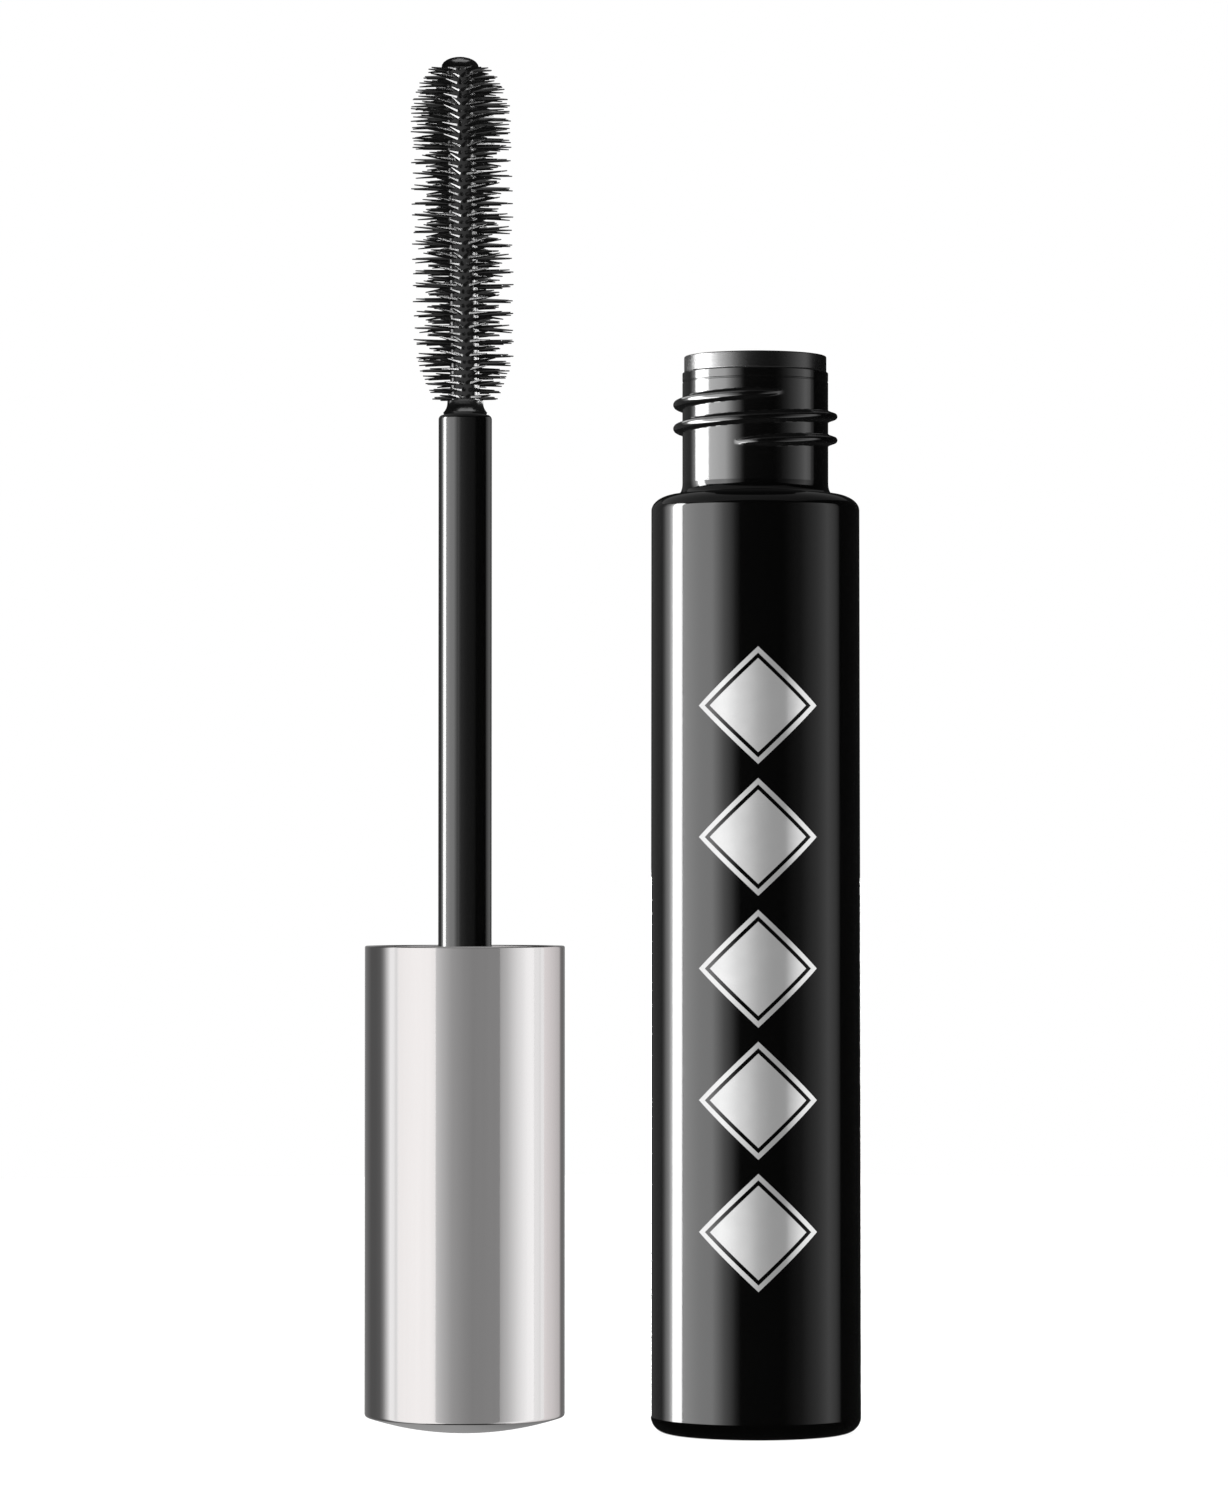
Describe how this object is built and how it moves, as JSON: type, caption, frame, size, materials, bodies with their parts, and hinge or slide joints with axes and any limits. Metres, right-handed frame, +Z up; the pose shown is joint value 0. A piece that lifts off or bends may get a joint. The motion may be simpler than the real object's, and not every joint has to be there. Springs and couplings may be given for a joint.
{
  "type": "mascara tube",
  "caption": "Open mascara tube: a cylindrical bottle with a threaded neck and wiper, and beside it the wand, a brush on a rod standing on its domed cap.",
  "frame": {"origin": "centre of the bottle's flat base, where it stands on a surface", "axes": "+Z up along the bottle, -Y towards the viewer, the wand stands on the -X side"},
  "size_m": [0.0437, 0.0186, 0.1212],
  "materials": {
    "gloss_black_plastic": "high-gloss moulded black",
    "wiper_polymer": "smooth black moulded polymer",
    "mascara_paste": "wet black paste",
    "polished_aluminium": "bright polished silver",
    "liner_polymer": "satin moulded polymer",
    "seal_foam": "matt foam washer",
    "rod_plastic": "gloss moulded black",
    "brush_elastomer": "satin moulded elastomer"
  },
  "bodies": {
    "bottle": {"bottle": "gloss_black_plastic", "wiper": "wiper_polymer", "mascara_paste": "mascara_paste"},
    "seal": {"cap_seal": "seal_foam"},
    "wand": {"cap_shell": "polished_aluminium", "cap_liner": "liner_polymer", "rod": "rod_plastic", "brush": "brush_elastomer"}
  },
  "joints": [
    {"name": "wand_lift", "type": "slide", "parent": "bottle", "child": "seal", "axis": [0, 0, 1], "range_m": [0, 0.0902]},
    {"name": "cap_turn", "type": "hinge", "parent": "seal", "child": "wand", "pos_m": [-0.0256, 0, 0], "axis": [0, 0, 1], "range_deg": [0, 698]}
  ]
}
